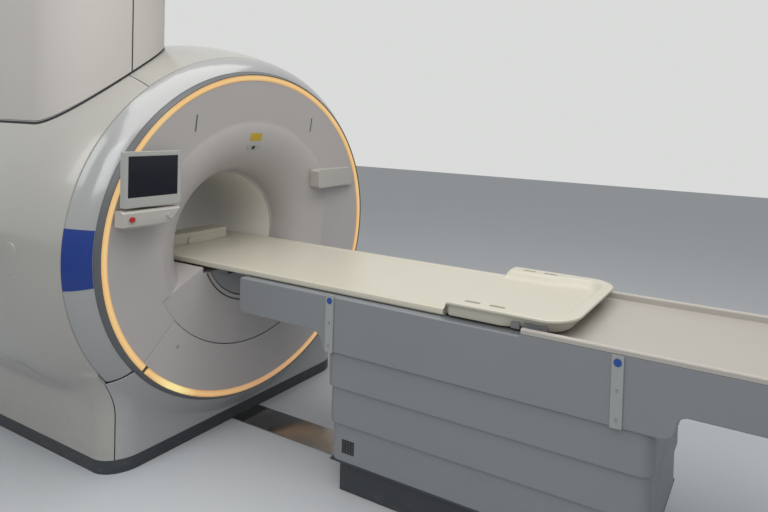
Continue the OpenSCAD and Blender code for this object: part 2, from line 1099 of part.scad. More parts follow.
module slide_track() {
  color([0.60, 0.61, 0.62])
    union() {
      box(-166, 166, column_y[1] - 100, body_nose - 6, track_low, track_low + 6);
      for (s = [-1, 1])
        box(s < 0 ? -166 : 160, s < 0 ? -160 : 166, deck_start + 12, body_nose - 6, track_low + 6, body_top - 8);
    }
}

module slide_rails() {
  color([0.30, 0.31, 0.32])
    for (s = [-1, 1])
      box(s < 0 ? -rail_in - rail_wide : rail_in, s < 0 ? -rail_in : rail_in + rail_wide, deck_start + 12,
        body_nose - 12, body_top, top_low);
}

module deck() {
  side = body_half - body_wall;
  lip = deck_high - 10;
  color([0.84, 0.82, 0.77])
    union() {
      box(-side, side, body_tail, deck_start - 2, body_top - 8, body_top);
      both_sides()
        along_y(body_tail, deck_start - 2)
          union() {
            translate([side - 14, body_top])
              square([14, lip - body_top]);
            translate([side - 14, body_top + 10])
              square([21, lip - body_top - 10]);
            translate([side - 4, lip])
              circle(r = 10);
            translate([side - 4, lip])
              square([11, 4]);
          }
      box(-side, side, body_tail, body_tail + 12, body_top, body_top + 20);
    }
}

module side_brackets() {
  color([0.60, 0.61, 0.62])
    for (s = [-1, 1])
      for (y = bracket_y)
        box(s < 0 ? -body_half - 6 : body_half, s < 0 ? -body_half : body_half + 6, y - 21, y + 21, body_low, body_top + 7);
}

module bracket_screws() {
  color([0.35, 0.36, 0.37])
    for (s = [-1, 1])
      for (y = bracket_y)
        for (z = [body_low + 30, body_low + 130])
          translate([s * (body_half + 6), y, z])
            rotate([0, s * 90, 0])
              cylinder(h = 2, r = 5);
}

module bracket_discs() {
  color([0.10, 0.30, 0.62])
    for (s = [-1, 1])
      for (y = bracket_y)
        translate([s * (body_half + 6), y, body_top - 18])
          rotate([0, s * 90, 0])
            cylinder(h = 1.2, r = 14);
}

module drive_motor() {
  color([0.25, 0.26, 0.28])
    union() {
      box(-50, 50, deck_start + 40, deck_start + 160, track_low - 50, track_low);
      translate([-130, deck_start + 100, track_low - 40])
        rotate([0, 90, 0])
          cylinder(h = 260, r = 32);
    }
}

module drive_belt() {
  color([0.12, 0.12, 0.13])
    box(-25, 25, deck_start + 60, body_nose - 60, track_low + 6, track_low + 14);
}

module lift_columns() {
  color([0.72, 0.73, 0.74])
    for (y = column_y)
      box(-65, 65, y - 90, y + 90, skirt_low_3 * 2, track_low);
}

module column_sleeves() {
  color([0.45, 0.46, 0.47])
    difference() {
      for (y = column_y)
        box(-80, 80, y - 105, y + 105, skirt_low_3, skirt_low_1 + 82);
      for (y = column_y)
        box(-66, 66, y - 91, y + 91, skirt_low_3 + 12, body_low);
    }
}

// One telescoping skirt, counted from the top, with a guide flange that runs in the one outside it.
module skirt(step, low, high) {
  inset = skirt_inset(step);
  difference() {
    union() {
      skirt_block(inset, low, high);
      skirt_block(inset - skirt_guide, high - 6, high);
    }
    skirt_block(inset + skirt_wall, low - 1, high + 1);
  }
}

module skirt_block(inset, low, high) {
  box(-body_half + inset, body_half - inset, pedestal_tail + inset + 1, pedestal_head - inset - 1, low, high);
}

module skirt_1() {
  color([0.50, 0.52, 0.54])
    skirt(1, skirt_low_1, body_low + 42);
}

module skirt_2() {
  color([0.50, 0.52, 0.54])
    skirt(2, skirt_low_2, skirt_low_1 + 40);
}

module skirt_3() {
  color([0.50, 0.52, 0.54])
    skirt(3, skirt_low_3, skirt_low_2 + 38);
}

module base_foot() {
  color([0.16, 0.17, 0.18])
    union() {
      skirt_block(skirt_inset(3), skirt_low_3 - 10, skirt_low_3);
      skirt_block(skirt_inset(3) + 32, 0, skirt_low_3 - 10);
    }
}

module foot_grille() {
  color([0.12, 0.12, 0.13])
    difference() {
      box(-314, -312, -930, -866, 192, 250);
      for (i = [0 : 3])
        for (j = [0 : 3])
          box(-316, -310, -924 + i * 15, -918 + i * 15, 198 + j * 13, 204 + j * 13);
    }
}

module floor_plate() {
  color([0.72, 0.72, 0.72])
    box(-92, 84, pedestal_head - skirt_inset(3) - 33, base_front, 0, 6);
}

magnet_vessel();
magnet_turret();
gradient_coil();
body_coil();
magnet_feet();
cover_frame();
bore_liner();
bore_bridge();
docking_collar();
front_cover();
lower_shroud();
base_front_cover();
front_band();
ring_bezel();
light_ring_upper();
light_ring_lower();
band_badge();
side_cover_left();
side_cover_right();
top_cover();
rear_cover();
plinth();
access_cap_left();
access_cap_right();
tower_side_panel();
tower_front_panel();
tower_cap();
vent_pipe();
display_housing();
display_screen();
control_panel();
alarm_button();
control_knob();
right_control_box();
slit_trims();
label_plate();
laser_window();
cover_lock();
tabletop();
tabletop_beam();
tabletop_end();
end_latch();
coil_base();
upper_body();
slide_track();
slide_rails();
deck();
side_brackets();
bracket_screws();
bracket_discs();
drive_motor();
drive_belt();
lift_columns();
skirt_1();
skirt_2();
skirt_3();
column_sleeves();
base_foot();
foot_grille();
floor_plate();
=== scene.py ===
"""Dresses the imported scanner: camera, lamps, a finish on every node, and finer pieces where needed."""
import json
import math

import bmesh
import bpy
from mathutils import Matrix, Vector

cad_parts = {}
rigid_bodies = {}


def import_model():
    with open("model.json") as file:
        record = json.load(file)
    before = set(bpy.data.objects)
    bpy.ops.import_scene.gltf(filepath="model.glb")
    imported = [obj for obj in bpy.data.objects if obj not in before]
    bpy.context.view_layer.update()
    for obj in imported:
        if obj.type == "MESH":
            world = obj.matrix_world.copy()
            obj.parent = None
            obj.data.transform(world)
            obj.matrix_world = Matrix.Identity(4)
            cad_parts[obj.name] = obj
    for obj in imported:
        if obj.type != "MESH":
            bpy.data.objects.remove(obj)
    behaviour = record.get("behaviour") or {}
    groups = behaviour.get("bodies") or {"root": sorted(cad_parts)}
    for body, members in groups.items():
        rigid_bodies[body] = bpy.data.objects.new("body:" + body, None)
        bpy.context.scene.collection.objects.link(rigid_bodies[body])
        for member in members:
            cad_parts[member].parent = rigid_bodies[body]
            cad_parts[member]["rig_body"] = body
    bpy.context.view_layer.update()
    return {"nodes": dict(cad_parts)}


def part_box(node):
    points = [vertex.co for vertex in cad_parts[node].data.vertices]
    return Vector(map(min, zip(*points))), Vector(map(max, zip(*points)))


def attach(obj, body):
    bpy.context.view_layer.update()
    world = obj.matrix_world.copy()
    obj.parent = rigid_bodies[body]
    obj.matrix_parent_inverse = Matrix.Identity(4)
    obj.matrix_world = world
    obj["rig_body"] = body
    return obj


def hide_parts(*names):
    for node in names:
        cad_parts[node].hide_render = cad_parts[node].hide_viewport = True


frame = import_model()
nodes = frame["nodes"]

# Sizes that the pieces share with the solids, in metres
BORE_HEIGHT = 0.965
RING_HEIGHT = 1.015
RING_OUT = 0.848
RING_WIDTH = 0.028
RIM_OUT = 0.866
DISH_OUT = 0.597
DISH_DEPTH = 0.038
MOUTH_OUT = 0.365
MOUTH_DEPTH = 0.297
FUNNEL_OUT = 0.540
NOTCH_OUT = 0.322
SEAM_ANGLE = 37.8
BAND_OUT = 0.944
BAND_DEPTH = 0.113
BAND_ARC = 0.1717
BAND_X = 0.7820
BAND_Y = 0.1698
COVER_OUT = 1.020
COVER_ARC = 1.3526
SWELL_FRONT = 0.560
SWELL_BACK = 1.061
COVER_FRONT = 0.116
COVER_BACK = 1.500
COVER_SEAM = 0.572
PLINTH = 0.064
CORNER = 0.130
CORNER_X = 0.615
CORNER_FRONT = 0.208
CORNER_BACK = 1.378
FLARE_START = 0.258
FLARE_TOP = 0.4776
FLARE_ARC = 0.398
TOWER_TURN_X = -0.585
TOWER_FRONT = 0.265
TOWER_LEFT = -0.852
TOWER_RIGHT = -0.250
TOWER_SEAM = -0.558
TOP_HEIGHT = 0.908
TOP_LOW = 0.878
TOP_HALF = 0.312
TOP_REACH = 0.690
TOP_TURN = 0.120
END_START = -1.350
END_STOP = -1.892
END_HEIGHT = 0.949
END_HALF = 0.337
END_TURN = 0.125
BODY_HALF = 0.344
BODY_TOP = 0.875
BODY_ROUND = 0.006
DECK_START = -1.700
PEDESTAL_HEAD = -0.762
PEDESTAL_TAIL = -2.200
NOSE_END = -0.248
NOSE_LOW = 0.709
TAIL_END = -2.750
TAIL_TOP = 0.885
TAIL_LOW = 0.721
FOOT_TOP = 0.632
DISH_RIM = RING_OUT - RING_WIDTH - 0.001
BAND_SLOPE = 2.85
FLARE_FALL = 1.2
FOOT_BLEND = 0.05
CREASE_BLEND = 0.016
TOWER_RIGHT_TURN = 0.360
TOWER_BACK = 1.300
SLIT_X = 0.391
SLIT_Z = 1.601
LOCK_X = -0.464
LOCK_Z = 0.524
CAP_Y = 0.376
CAP_Z = 1.005
CAP_HALF = 0.038
HAND_SLOTS = (-1.473, -1.580)
COVER_WALL = 0.007
COVER_EDGE = 0.0015

# Points inside the machine that the faces of its covers look away from
MAGNET_MIDDLE = (0, 0.8, 0.9)
BASE_INSIDE = (0, 1.0, 0.4)
BORE_INSIDE = (0, 1.0, 1.0)


# Camera, as the picture was taken

def place_camera():
    picture_width, picture_height = 768, 512
    lens_px = 594.46
    middle_x, middle_y = 481.14, 137.81
    eye = (-2.3301, -2.5337, 1.6504)
    yaw, pitch, roll = (math.radians(a) for a in (62.84, -1.51, 1.86))
    ahead = Vector((math.sin(yaw) * math.cos(pitch), math.cos(yaw) * math.cos(pitch), math.sin(pitch)))
    level = Vector((math.cos(yaw), -math.sin(yaw), 0.0))
    upright = level.cross(ahead)
    right = math.cos(roll) * level + math.sin(roll) * upright
    above = math.cos(roll) * upright - math.sin(roll) * level
    data = bpy.data.cameras.new("camera")
    data.sensor_fit = "HORIZONTAL"
    data.sensor_width = 36.0
    data.lens = data.sensor_width * lens_px / picture_width
    data.shift_x = (picture_width / 2 - middle_x) / picture_width
    data.shift_y = (middle_y - picture_height / 2) / picture_width
    data.clip_end = 60.0
    camera = bpy.data.objects.new("camera", data)
    turn = Matrix((right, above, -ahead)).transposed().to_4x4()
    camera.matrix_world = Matrix.Translation(eye) @ turn
    bpy.context.scene.collection.objects.link(camera)
    bpy.context.scene.camera = camera


place_camera()


# Lamps and world

def softbox(name, place, target, width, height, power, colour=(1.0, 1.0, 1.0)):
    data = bpy.data.lights.new(name, "AREA")
    data.shape = "RECTANGLE"
    data.size = width
    data.size_y = height
    data.energy = power
    data.color = colour
    lamp = bpy.data.objects.new(name, data)
    place = Vector(place)
    turn = (Vector(target) - place).to_track_quat("-Z", "Y").to_matrix().to_4x4()
    lamp.matrix_world = Matrix.Translation(place) @ turn
    bpy.context.scene.collection.objects.link(lamp)


def light_studio():
    softbox("ceiling softbox", (-0.6, -1.4, 4.6), (-0.4, -0.9, 0.0), 4.4, 4.4, 150, (1.0, 0.985, 0.955))
    softbox("key softbox", (-3.8, -3.2, 3.8), (-0.2, -0.2, 1.1), 2.4, 2.4, 56)
    softbox("side softbox", (-4.4, 1.2, 4.0), (-0.6, 0.7, 1.3), 2.2, 2.2, 34)
    world = bpy.data.worlds.new("studio")
    bpy.context.scene.world = world
    world.use_nodes = True
    tree = world.node_tree
    tree.nodes.clear()
    path = tree.nodes.new("ShaderNodeLightPath")
    seen = None
    for ray in ("Is Camera Ray", "Is Glossy Ray", "Is Transmission Ray"):
        either = tree.nodes.new("ShaderNodeMath")
        either.operation = "MAXIMUM"
        tree.links.new(path.outputs[ray], either.inputs[0])
        either.inputs[1].default_value = 0.0
        if seen is not None:
            tree.links.new(seen, either.inputs[1])
        seen = either.outputs[0]
    fill = tree.nodes.new("ShaderNodeBackground")
    fill.inputs["Color"].default_value = (0.94, 0.97, 1.0, 1.0)
    fill.inputs["Strength"].default_value = 0.39
    backdrop = tree.nodes.new("ShaderNodeBackground")
    backdrop.inputs["Color"].default_value = (0.70, 0.71, 0.70, 1.0)
    backdrop.inputs["Strength"].default_value = 1.0
    mix = tree.nodes.new("ShaderNodeMixShader")
    out = tree.nodes.new("ShaderNodeOutputWorld")
    tree.links.new(seen, mix.inputs[0])
    tree.links.new(fill.outputs[0], mix.inputs[1])
    tree.links.new(backdrop.outputs[0], mix.inputs[2])
    tree.links.new(mix.outputs[0], out.inputs["Surface"])
    bpy.context.scene.view_settings.view_transform = "Standard"


light_studio()


# Finishes

class Finish:
    """A material that is built up in steps: base colour, mottling, grain, smudges."""

    def __init__(self, name, colour, rough, metal=0.0, coat=0.0, coat_rough=0.05, specular=0.5):
        self.material = bpy.data.materials.new(name)
        self.material.use_nodes = True
        self.tree = self.material.node_tree
        self.shader = self.tree.nodes["Principled BSDF"]
        self.colour = colour
        self.tint = None
        self.rough = rough
        self.height = None
        self.set("Base Color", (*colour, 1.0))
        self.set("Roughness", rough)
        self.set("Metallic", metal)
        self.set("Coat Weight", coat)
        self.set("Coat Roughness", coat_rough)
        self.set("Specular IOR Level", specular)
        coordinates = self.tree.nodes.new("ShaderNodeTexCoord")
        self.place = coordinates.outputs["Object"]

    def set(self, socket, value):
        self.shader.inputs[socket].default_value = value

    def node(self, kind, **values):
        made = self.tree.nodes.new("ShaderNode" + kind)
        for key, value in values.items():
            setattr(made, key, value)
        return made

    def link(self, output, socket):
        self.tree.links.new(output, socket)

    def maths(self, operation, first, second):
        made = self.node("Math", operation=operation)
        for socket, value in ((0, first), (1, second)):
            if isinstance(value, (int, float)):
                made.inputs[socket].default_value = value
            else:
                self.link(value, made.inputs[socket])
        return made.outputs[0]

    def stretched(self, scale):
        mapping = self.node("Mapping")
        mapping.inputs["Scale"].default_value = scale
        self.link(self.place, mapping.inputs["Vector"])
        return mapping.outputs["Vector"]

    def noise(self, scale, detail=3.0, place=None, rough=0.5):
        made = self.node("TexNoise")
        made.inputs["Scale"].default_value = scale
        made.inputs["Detail"].default_value = detail
        made.inputs["Roughness"].default_value = rough
        self.link(place or self.place, made.inputs["Vector"])
        return made.outputs["Fac"]

    def ramp(self, value, low, high, start=0.0, stop=1.0):
        made = self.node("MapRange")
        made.inputs["From Min"].default_value = low
        made.inputs["From Max"].default_value = high
        made.inputs["To Min"].default_value = start
        made.inputs["To Max"].default_value = stop
        self.link(value, made.inputs["Value"])
        return made.outputs["Result"]

    def blended(self, share, first, second):
        mix = self.node("Mix", data_type="RGBA")
        self.link(share, mix.inputs["Factor"])
        for socket, value in (("A", first), ("B", second)):
            if isinstance(value, tuple):
                mix.inputs[socket].default_value = (*value, 1.0)
            else:
                self.link(value, mix.inputs[socket])
        return mix.outputs["Result"]

    def mottle(self, scale, spread, detail=4.0):
        """Slow changes of the colour, darker and lighter by the spread."""
        darker = tuple(c * (1.0 - spread) for c in self.colour)
        lighter = tuple(min(1.0, c * (1.0 + spread)) for c in self.colour)
        self.tint = self.blended(self.ramp(self.noise(scale, detail), 0.35, 0.65), darker, lighter)
        self.link(self.tint, self.shader.inputs["Base Color"])
        return self

    def grain(self, scale, depth, detail=2.0, stretch=None):
        """Fine relief, depth in metres."""
        place = self.stretched(stretch) if stretch else self.place
        bump = self.node("Bump")
        bump.inputs["Strength"].default_value = 1.0
        bump.inputs["Distance"].default_value = depth
        self.link(self.noise(scale, detail, place), bump.inputs["Height"])
        if self.height is not None:
            self.link(self.height, bump.inputs["Normal"])
        self.height = bump.outputs["Normal"]
        self.link(self.height, self.shader.inputs["Normal"])
        return self

    def smudges(self, scale, spread, stretch=None):
        """Hand marks and wiping marks, seen only in the gloss."""
        place = self.stretched(stretch) if stretch else self.place
        marks = self.noise(scale, 5.0, place, 0.6)
        value = self.ramp(marks, 0.3, 0.7, self.rough - spread, self.rough + spread)
        self.link(value, self.shader.inputs["Roughness"])
        return self

    def floor_streaks(self, top, colour, amount):
        """Streaks of another colour, strongest at the floor and thinning out up to a height."""
        parts = self.node("SeparateXYZ")
        self.link(self.place, parts.inputs["Vector"])
        low = self.ramp(parts.outputs["Z"], 0.0, top, 1.0, 0.0)
        marks = self.ramp(self.noise(14.0, 6.0, self.stretched((1.0, 1.0, 3.5)), 0.7), 0.52, 0.72)
        share = self.maths("MULTIPLY", self.maths("MULTIPLY", low, marks), amount)
        self.tint = self.blended(share, self.tint, colour)
        self.link(self.tint, self.shader.inputs["Base Color"])
        return self


def moulded(name, colour, rough, depth=0.00012, spread=0.02, **more):
    """Moulded plastic or textured paint with a fine even grain."""
    return Finish(name, colour, rough, **more).mottle(1.6, spread).grain(900, depth).smudges(6.0, 0.05)


def glossy(name, colour, rough, spread=0.015, **more):
    """Sprayed gloss with a faint orange peel."""
    return Finish(name, colour, rough, **more).mottle(1.1, spread).grain(55, 0.00012).smudges(3.0, 0.03)


def brushed(name, colour, rough, stretch, **more):
    """Metal brushed along one axis."""
    made = Finish(name, colour, rough, metal=1.0, **more).mottle(4.0, 0.04)
    return made.grain(60, 0.0001, 3.0, stretch).smudges(40.0, 0.08, stretch)


def lit_ring(name):
    """The glowing ring: amber at its edges, paler along the middle, brightest under its lower gap."""
    made = Finish(name, (0.10, 0.07, 0.04), 0.45)
    parts = made.node("SeparateXYZ")
    made.link(made.place, parts.inputs["Vector"])
    across = made.node("CombineXYZ")
    made.link(parts.outputs["X"], across.inputs["X"])
    made.link(made.maths("SUBTRACT", parts.outputs["Z"], RING_HEIGHT), across.inputs["Y"])
    reach = made.node("VectorMath", operation="LENGTH")
    made.link(across.outputs[0], reach.inputs[0])
    middle = made.maths("SUBTRACT", reach.outputs["Value"], RING_OUT - RING_WIDTH / 2)
    edge = made.ramp(made.maths("ABSOLUTE", middle, 0.0), 0.003, RING_WIDTH / 2)
    glow = made.blended(edge, (0.84, 0.55, 0.22), (0.66, 0.34, 0.12))
    cloudy = made.ramp(made.noise(2.2, 2.0), 0.42, 0.66, 0.0, 0.45)
    glow = made.blended(cloudy, glow, (0.80, 0.60, 0.31))
    far_end = made.node("VectorMath", operation="DISTANCE")
    made.link(across.outputs[0], far_end.inputs[0])
    far_end.inputs[1].default_value = (0.06, -RING_OUT, 0.0)
    faded = made.ramp(far_end.outputs["Value"], 0.05, 0.62, 0.75, 0.0)
    glow = made.blended(faded, glow, (0.46, 0.25, 0.14))
    lamp = math.radians(-127)
    hot = made.node("VectorMath", operation="DISTANCE")
    made.link(across.outputs[0], hot.inputs[0])
    hot.inputs[1].default_value = (RING_OUT * math.cos(lamp), RING_OUT * math.sin(lamp), 0.0)
    glow = made.blended(made.ramp(hot.outputs["Value"], 0.03, 0.15, 0.9, 0.0), glow, (1.0, 0.84, 0.36))
    made.link(glow, made.shader.inputs["Emission Color"])
    made.set("Emission Strength", 0.9)
    return made


cover_satin = moulded("satin cover plastic", (0.45, 0.425, 0.415), 0.40)
base_satin = moulded("satin base plastic", (0.36, 0.362, 0.37), 0.36).floor_streaks(0.35, (0.20, 0.20, 0.21), 0.35)
side_gloss = glossy("champagne side gloss", (0.39, 0.38, 0.35), 0.24, metal=0.12, coat=0.5).floor_streaks(
    0.4, (0.16, 0.16, 0.16), 0.3)
band_gloss = glossy("light band gloss", (0.325, 0.33, 0.33), 0.22, metal=0.1, coat=0.5)
# The bezel round the lit ring: dark grey plastic, its darkness also painted shade of the recess round the
# ring.
rim_dark_and_shade = moulded("dark rim plastic and painted shade", (0.10, 0.105, 0.11), 0.35)
ring_glow = lit_ring("lit ring diffuser")
badge_blue = glossy("blue badge film", (0.003, 0.030, 0.21), 0.35)
plinth_dark = moulded("charcoal plinth plastic", (0.035, 0.04, 0.046), 0.55, spread=0.06).floor_streaks(
    0.09, (0.14, 0.14, 0.14), 0.4)
tower_matte = moulded("matt tower paint", (0.52, 0.49, 0.46), 0.6)
liner_plastic = moulded("bore liner plastic", (0.86, 0.825, 0.77), 0.35)
bridge_grey = moulded("grey bridge plastic", (0.30, 0.31, 0.32), 0.45)
frame_grey = moulded("display frame plastic", (0.38, 0.385, 0.365), 0.4)
screen_glass = glossy("dark screen glass", (0.006, 0.007, 0.014), 0.16, specular=0.3, coat=0.1)
panel_grey = moulded("control panel plastic", (0.44, 0.42, 0.39), 0.4)
button_red = glossy("red button plastic", (0.42, 0.012, 0.016), 0.25)
knob_grey = moulded("knob plastic", (0.42, 0.42, 0.41), 0.4)
trim_black = moulded("black trim plastic", (0.012, 0.012, 0.014), 0.4)
# Black for seals, also used as painted shade in the gaps round the tower and the docking collar.
black_seal_and_shade = moulded("black seal rubber and painted shade", (0.018, 0.018, 0.02), 0.7)
seal_brown = moulded("brown seal rubber", (0.20, 0.16, 0.12), 0.6)
trim_grey = moulded("grey trim plastic", (0.20, 0.205, 0.21), 0.45)
label_yellow = glossy("yellow plate film", (0.50, 0.34, 0.02), 0.4)
top_cream = glossy("cream tabletop laminate", (0.53, 0.505, 0.42), 0.34)
deck_cream = moulded("warm deck plastic", (0.40, 0.375, 0.34), 0.42)
body_paint = moulded("blue grey table paint", (0.205, 0.217, 0.23), 0.42, depth=0.00008).floor_streaks(
    0.5, (0.12, 0.12, 0.125), 0.25)
bracket_paint = moulded("pale bracket paint", (0.30, 0.315, 0.31), 0.38)
disc_blue = glossy("blue disc plastic", (0.01, 0.06, 0.26), 0.3)
screw_steel = brushed("turned screw steel", (0.35, 0.35, 0.36), 0.35, (1, 1, 30))
floor_steel = brushed("brushed floor steel", (0.36, 0.355, 0.35), 0.10, (40, 2, 2))
pipe_steel = brushed("brushed pipe steel", (0.6, 0.6, 0.61), 0.3, (1, 1, 30))
rail_alloy = brushed("drawn rail alloy", (0.45, 0.46, 0.47), 0.38, (40, 1, 40))
vessel_paint = moulded("vessel enamel", (0.62, 0.63, 0.64), 0.35)
coil_resin = moulded("cast coil resin", (0.45, 0.33, 0.16), 0.6, spread=0.08)
foot_iron = moulded("painted foot iron", (0.035, 0.04, 0.045), 0.5)
belt_rubber = moulded("belt rubber", (0.02, 0.02, 0.02), 0.75)

finishes = {
    cover_satin: ["front_cover", "lower_shroud", "rear_cover", "docking_collar"],
    base_satin: ["base_front_cover"],
    side_gloss: ["side_cover_left", "side_cover_right", "top_cover", "access_cap_left", "access_cap_right"],
    band_gloss: ["front_band"],
    rim_dark_and_shade: ["ring_bezel"],
    ring_glow: ["light_ring_upper", "light_ring_lower"],
    badge_blue: ["band_badge"],
    plinth_dark: ["plinth", "base_foot"],
    tower_matte: ["tower_side_panel", "tower_front_panel", "tower_cap"],
    liner_plastic: ["bore_liner"],
    bridge_grey: ["bore_bridge"],
    frame_grey: ["display_housing"],
    screen_glass: ["display_screen"],
    panel_grey: ["control_panel", "right_control_box"],
    button_red: ["alarm_button"],
    knob_grey: ["control_knob"],
    trim_black: ["slit_trims", "laser_window", "foot_grille", "slide_rails"],
    trim_grey: ["end_latch"],
    label_yellow: ["label_plate"],
    top_cream: ["tabletop", "coil_base", "tabletop_end"],
    deck_cream: ["deck"],
    body_paint: ["upper_body", "skirt_1", "skirt_2", "skirt_3"],
    bracket_paint: ["side_brackets"],
    disc_blue: ["bracket_discs"],
    screw_steel: ["bracket_screws", "cover_lock"],
    floor_steel: ["floor_plate"],
    pipe_steel: ["vent_pipe"],
    rail_alloy: ["slide_track", "lift_columns", "column_sleeves", "tabletop_beam"],
    vessel_paint: ["magnet_vessel", "magnet_turret"],
    coil_resin: ["gradient_coil", "body_coil"],
    foot_iron: ["magnet_feet", "cover_frame", "drive_motor"],
    belt_rubber: ["drive_belt"],
}
for finish, names in finishes.items():
    for name in names:
        nodes[name].data.materials.clear()
        nodes[name].data.materials.append(finish.material)


# Rounded edges and smooth shading

def shade_by_angle(angle):
    """Nodes that shade a mesh smooth, apart from edges sharper than the angle."""
    group = bpy.data.node_groups.new("shade by angle", "GeometryNodeTree")
    group.interface.new_socket("Geometry", in_out="INPUT", socket_type="NodeSocketGeometry")
    group.interface.new_socket("Geometry", in_out="OUTPUT", socket_type="NodeSocketGeometry")
    start = group.nodes.new("NodeGroupInput")
    stop = group.nodes.new("NodeGroupOutput")
    bend = group.nodes.new("GeometryNodeInputMeshEdgeAngle")
    smooth = group.nodes.new("GeometryNodeSetShadeSmooth")
    smooth.domain = "FACE"
    sharp = group.nodes.new("GeometryNodeSetShadeSmooth")
    sharp.domain = "EDGE"
    sharp.inputs["Shade Smooth"].default_value = False
    over = group.nodes.new("FunctionNodeCompare")
    over.data_type = "FLOAT"
    over.operation = "GREATER_THAN"
    over.inputs["B"].default_value = angle
    group.links.new(start.outputs[0], smooth.inputs["Geometry"])
    group.links.new(smooth.outputs["Geometry"], sharp.inputs["Geometry"])
    group.links.new(bend.outputs["Unsigned Angle"], over.inputs["A"])
    group.links.new(over.outputs["Result"], sharp.inputs["Selection"])
    group.links.new(sharp.outputs["Geometry"], stop.inputs[0])
    return group


smooth_group = shade_by_angle(math.radians(32))


def soften(piece, width=0.0, segments=3):
    """Rounds a piece's sharp edges by a width and shades it smooth."""
    weld = piece.modifiers.new("weld", "WELD")
    weld.merge_threshold = 0.00002
    if width:
        bevel = piece.modifiers.new("rounded edges", "BEVEL")
        bevel.width = width
        bevel.segments = segments
        bevel.limit_method = "ANGLE"
        bevel.angle_limit = math.radians(40)
        bevel.use_clamp_overlap = True
    shade = piece.modifiers.new("smooth shading", "NODES")
    shade.node_group = smooth_group
    even = piece.modifiers.new("even shading", "WEIGHTED_NORMAL")
    even.keep_sharp = True


edge_widths = {
    0.0025: ["tower_side_panel", "tower_front_panel", "tower_cap", "front_band", "lower_shroud",
             "front_cover", "label_plate", "plinth", "rear_cover"],
    0.006: ["display_housing", "control_panel", "deck", "base_foot", "coil_base", "lift_columns",
            "drive_motor"],
    0.010: ["right_control_box"],
    0.0015: ["side_brackets", "end_latch", "alarm_button", "control_knob", "bracket_screws", "floor_plate",
             "slit_trims", "docking_collar", "tabletop_beam"],
}
widths = {name: width for width, names in edge_widths.items() for name in names}
for name, node in nodes.items():
    soften(node, widths.get(name, 0.0))


# Helpers for the finer pieces

def ease(value, low, high):
    share = min(max((value - low) / (high - low), 0.0), 1.0)
    return share * share * (3 - 2 * share)


def soft_max(first, second, blend):
    overlap = max(blend - abs(first - second), 0.0) / blend
    return max(first, second) + overlap * overlap * blend / 4


def lerp(first, second, share):
    return first + (second - first) * share


def sheet(place, across, along):
    """A grid of squares whose points a formula of u and v, each 0 to 1, puts in place."""
    shell = bmesh.new()
    bmesh.ops.create_grid(shell, x_segments=across, y_segments=along, size=1.0)
    for point in shell.verts:
        point.co = place((point.co.x + 1) / 2, (point.co.y + 1) / 2)
    bmesh.ops.remove_doubles(shell, verts=shell.verts, dist=0.00001)
    return shell


def skin(loops, closed=True, filled=False):
    """A sheet through loops that have the same number of points, its open ends filled if asked."""
    count = len(loops[0])
    last = count if closed else count - 1
    rows = len(loops) - 1

    def place(u, v):
        return loops[round(v * rows)][round(u * last) % count]

    shell = sheet(place, last, rows)
    if filled:
        edges = [edge for edge in shell.edges if edge.is_boundary]
        bmesh.ops.holes_fill(shell, edges=edges, sides=0)
    return shell


def round_rectangle(half, front, back, radius, steps=6):
    """Points round a rectangle with round corners, seen from above."""
    points = []
    corners = ((half - radius, front - radius), (radius - half, front - radius),
               (radius - half, back + radius), (half - radius, back + radius))
    for turn, (x, y) in enumerate(corners):
        for step in range(steps + 1):
            angle = math.radians(90 * turn + 90 * step / steps)
            points.append((x + radius * math.cos(angle), y + radius * math.sin(angle)))
    return points


def rounded_path(corners, steps=6):
    """Points round a closed outline of (a, b, radius) corners, each corner turned with its radius."""
    points = []
    for index, (a, b, radius) in enumerate(corners):
        corner = Vector((a, b))
        before = (Vector(corners[index - 1][:2]) - corner).normalized()
        after = (Vector(corners[(index + 1) % len(corners)][:2]) - corner).normalized()
        half = before.angle(after) / 2
        start = corner + before * radius / math.tan(half)
        stop = corner + after * radius / math.tan(half)
        middle = corner + (before + after).normalized() * radius / math.sin(half)
        for step in range(steps + 1):
            spoke = (start - middle).lerp(stop - middle, step / steps)
            points.append(middle + spoke.normalized() * radius)
    return points


def cut(shell, cutter):
    """The closed shell without the closed cutter's volume."""
    pair = []
    for part in (shell, cutter):
        bmesh.ops.recalc_face_normals(part, faces=part.faces)
        mesh = bpy.data.meshes.new("blank")
        part.to_mesh(mesh)
        part.free()
        pair.append(bpy.data.objects.new("blank", mesh))
        bpy.context.scene.collection.objects.link(pair[-1])
    change = pair[0].modifiers.new("cut", "BOOLEAN")
    change.operation = "DIFFERENCE"
    change.solver = "EXACT"
    change.object = pair[1]
    ready = pair[0].evaluated_get(bpy.context.evaluated_depsgraph_get())
    result = bmesh.new()
    result.from_mesh(ready.to_mesh())
    for part in pair:
        mesh = part.data
        bpy.data.objects.remove(part)
        bpy.data.meshes.remove(mesh)
    return result


def new_piece(name, shell, finish, body, stands_for=(), inside=None, wall=0.0, edge=0.0):
    """Makes a mesh a piece of a body, its faces looking away from the point inside, its wall behind."""
    bmesh.ops.recalc_face_normals(shell, faces=shell.faces)
    if inside is not None:
        centre = Vector(inside)
        if sum(face.normal.dot(face.calc_center_median() - centre) for face in shell.faces) < 0:
            bmesh.ops.reverse_faces(shell, faces=shell.faces)
    mesh = bpy.data.meshes.new(name)
    shell.to_mesh(mesh)
    shell.free()
    piece = bpy.data.objects.new(name, mesh)
    bpy.context.scene.collection.objects.link(piece)
    mesh.materials.append(finish.material)
    if wall:
        thick = piece.modifiers.new("wall", "SOLIDIFY")
        thick.thickness = wall
        thick.offset = -1.0
    soften(piece, edge)
    if stands_for:
        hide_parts(*stands_for)
    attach(piece, body)


def body_of(node):
    return nodes[node]["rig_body"]


# Covers of the magnet

def cover_reach(y):
    """Radius of the round covers at a depth."""
    off = max(SWELL_FRONT - y, y - SWELL_BACK, 0.0)
    return COVER_OUT - COVER_ARC + math.sqrt(COVER_ARC ** 2 - off ** 2)


